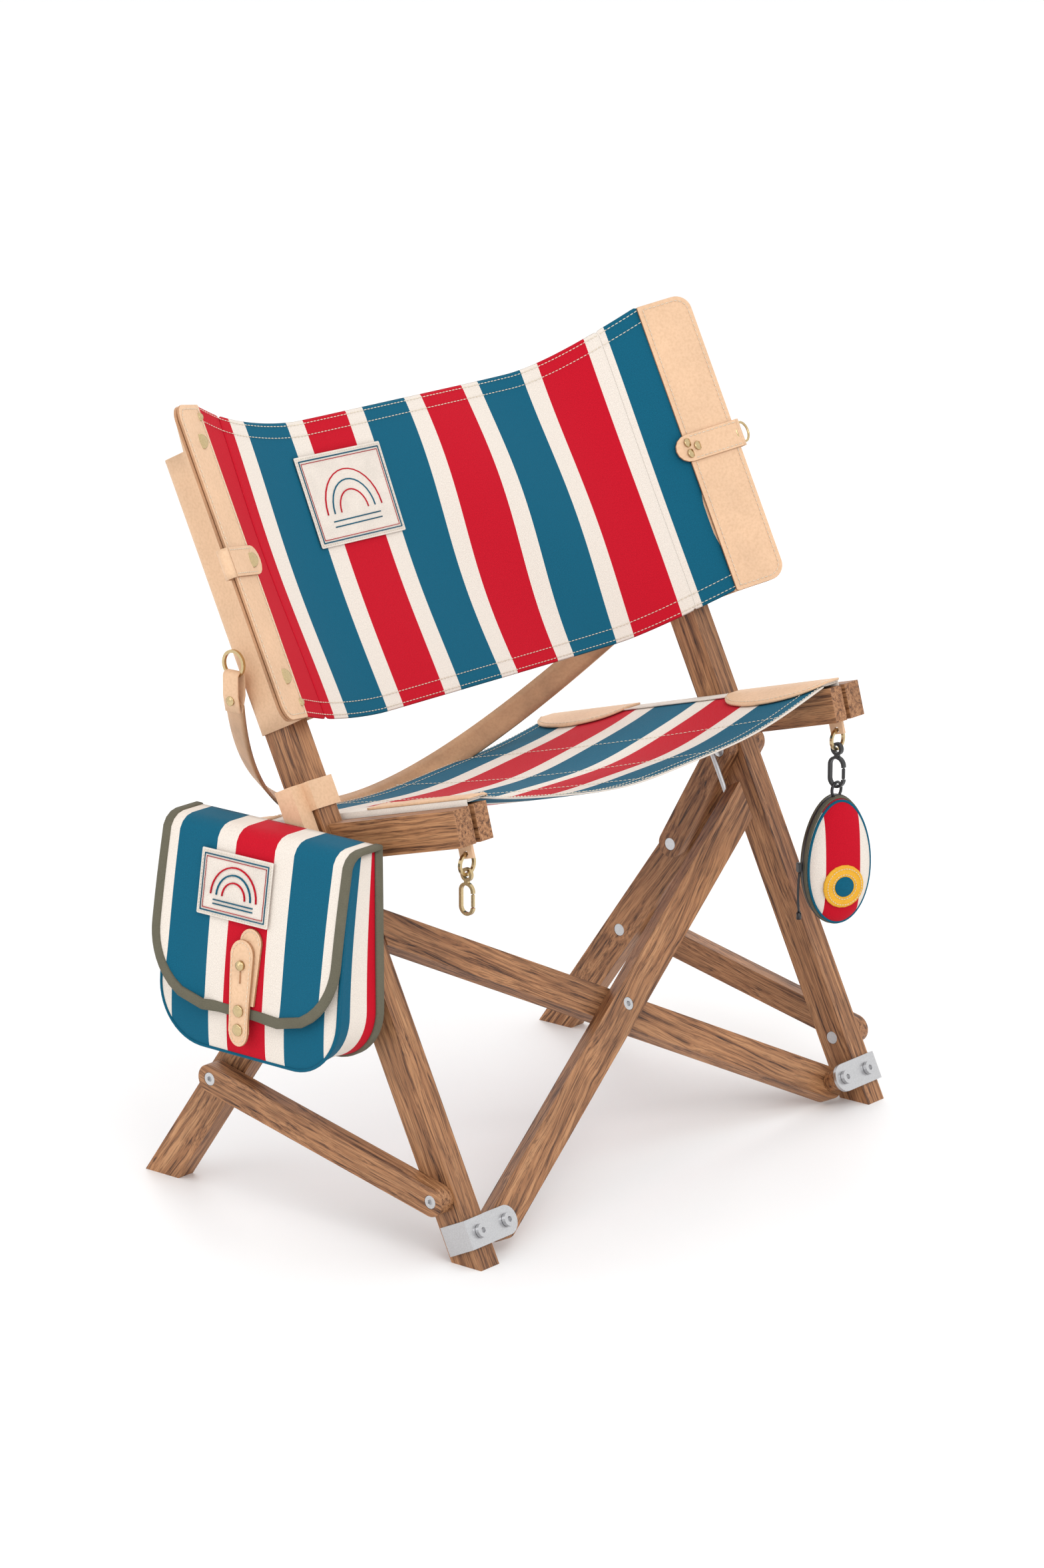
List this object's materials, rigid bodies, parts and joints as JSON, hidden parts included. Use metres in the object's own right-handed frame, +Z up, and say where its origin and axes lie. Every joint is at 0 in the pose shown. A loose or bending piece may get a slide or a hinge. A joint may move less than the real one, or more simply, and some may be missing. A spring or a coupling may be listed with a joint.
{
  "type": "folding beach chair",
  "caption": "Low folding wooden beach chair with a striped sling seat and sleeved backrest, crossed front bars, carry strap, side bag and hanging pouch.",
  "frame": {"origin": "middle of the footprint box, on the floor", "axes": "+Z up, the sitter faces -Y, +X is the side with the pouch"},
  "size_m": [0.6848, 0.3868, 0.69],
  "materials": {
    "oak": "open grain, oiled mid brown",
    "steel": "bright zinc",
    "brass": "aged antique",
    "black": "satin",
    "leather": "natural vegetable tanned",
    "striped_cloth": "plain woven canvas in blue, red and off-white stripes"
  },
  "bodies": {
    "side_left": {"post_left": "oak", "rear_leg_left": "oak", "side_brace_left": "oak", "cheek_outer_left": "oak", "cheek_inner_left": "oak", "bolt_a_left": "steel", "bolt_b_left": "steel", "bolt_c_left": "steel", "bolt_d_left": "steel", "foot_bracket_left": "steel", "foot_pivot_bolt_left": "steel", "foot_post_screw_left": "steel"},
    "bar_front": {"cross_bar_front": "oak", "centre_bolt": "steel", "rail_eye_screw_right": "steel"},
    "bar_rear": {"cross_bar_rear": "oak", "rail_eye_screw_left": "steel"},
    "side_right": {"post_right": "oak", "rear_leg_right": "oak", "side_brace_right": "oak", "cheek_outer_right": "oak", "cheek_inner_right": "oak", "bolt_a_right": "steel", "bolt_b_right": "steel", "bolt_c_right": "steel", "bolt_d_right": "steel", "foot_bracket_right": "steel", "foot_pivot_bolt_right": "steel", "foot_post_screw_right": "steel", "barrel_spacer": "oak"},
    "rails_right": {"rail_inner_right": "oak", "rail_outer_right": "oak", "rail_eye_right": "steel", "back_sleeve_right": "leather", "back_dring_right": "brass", "rail_tab_right": "leather"},
    "rails_left": {"rail_inner_left": "oak", "rail_outer_left": "oak", "rail_eye_left": "steel", "back_sleeve_left": "leather", "back_dring_left": "brass", "rail_tab_left": "leather", "seat_sling": "striped_cloth", "back_sling": "striped_cloth", "carry_strap": "leather", "bag_body": "striped_cloth", "bag_loop": "leather"},
    "flap": {"bag_flap": "striped_cloth", "closing_strap": "leather", "bag_stud": "brass"},
    "ring_left": {"rail_dring_left": "brass"},
    "ring_right": {"rail_dring_right": "brass"},
    "hook": {"snap_hook": "brass"},
    "hook_gate": {"snap_hook_gate": "brass"},
    "clip": {"carabiner": "black"},
    "clip_gate": {"carabiner_gate": "black"},
    "pouch": {"pouch_body": "striped_cloth"},
    "slider": {"zip_slider": "black"}
  },
  "joints": [
    {"name": "fold", "type": "hinge", "parent": "side_left", "child": "bar_front", "pos_m": [-0.22755, -0.17273, 0.02444], "axis": [0, -0.9006, 0.4346], "range_deg": [0, 45], "deforming": ["seat_sling", "back_sling", "carry_strap"]},
    {"name": "cross", "type": "hinge", "parent": "bar_front", "child": "bar_rear", "pos_m": [0.00745, -0.10992, 0.13848], "axis": [0, -0.9006, 0.4346], "range_deg": [-90, 0]},
    {"name": "right_foot", "type": "hinge", "parent": "bar_rear", "child": "side_right", "pos_m": [0.24245, -0.17273, 0.02444], "axis": [0, -0.9006, 0.4346], "range_deg": [0, 45]},
    {"name": "right_rail", "type": "hinge", "parent": "bar_front", "child": "rails_right", "pos_m": [0.24245, -0.05162, 0.25469], "axis": [0, -0.9006, 0.4346], "range_deg": [-45, 0]},
    {"name": "left_rail", "type": "hinge", "parent": "bar_rear", "child": "rails_left", "pos_m": [-0.22755, -0.03721, 0.24774], "axis": [0, -0.9006, 0.4346], "range_deg": [0, 45]},
    {"name": "bag_flap_lift", "type": "hinge", "parent": "rails_left", "child": "flap", "pos_m": [-0.29355, -0.00641, 0.3473], "axis": [0, 1, 0], "range_deg": [0, 80]},
    {"name": "left_ring_swing", "type": "hinge", "parent": "rails_left", "child": "ring_left", "pos_m": [-0.2445, -0.15568, 0.34137], "axis": [1, 0, 0], "range_deg": [-40, 40]},
    {"name": "right_ring_swing", "type": "hinge", "parent": "rails_right", "child": "ring_right", "pos_m": [0.2594, -0.15568, 0.34137], "axis": [1, 0, 0], "range_deg": [-35, 4]},
    {"name": "hook_swing", "type": "hinge", "parent": "ring_left", "child": "hook", "pos_m": [-0.2445, -0.15568, 0.32387], "axis": [1, 0, 0], "range_deg": [-40, 40]},
    {"name": "hook_gate_open", "type": "hinge", "parent": "hook", "child": "hook_gate", "pos_m": [-0.2445, -0.16193, 0.29847], "axis": [1, 0, 0], "range_deg": [-25, 0], "stiffness_Nm_per_rad": 0.02},
    {"name": "clip_swing", "type": "hinge", "parent": "ring_right", "child": "clip", "pos_m": [0.2594, -0.15568, 0.32387], "axis": [1, 0, 0], "range_deg": [-40, 4]},
    {"name": "clip_gate_open", "type": "hinge", "parent": "clip", "child": "clip_gate", "pos_m": [0.2594, -0.16293, 0.29847], "axis": [1, 0, 0], "range_deg": [-25, 0], "stiffness_Nm_per_rad": 0.02},
    {"name": "pouch_swing", "type": "hinge", "parent": "clip", "child": "pouch", "pos_m": [0.2594, -0.15568, 0.28962], "axis": [0, 1, 0], "range_deg": [-20, 20]},
    {"name": "zip_slide", "type": "slide", "parent": "pouch", "child": "slider", "axis": [0.2449, 0, 0.9695], "range_m": [0, 0.036]}
  ],
  "couplings": [
    {"joint": "cross", "follows": "fold", "ratio": -2},
    {"joint": "right_foot", "follows": "fold", "ratio": 1},
    {"joint": "right_rail", "follows": "fold", "ratio": -1},
    {"joint": "left_rail", "follows": "fold", "ratio": 1}
  ]
}
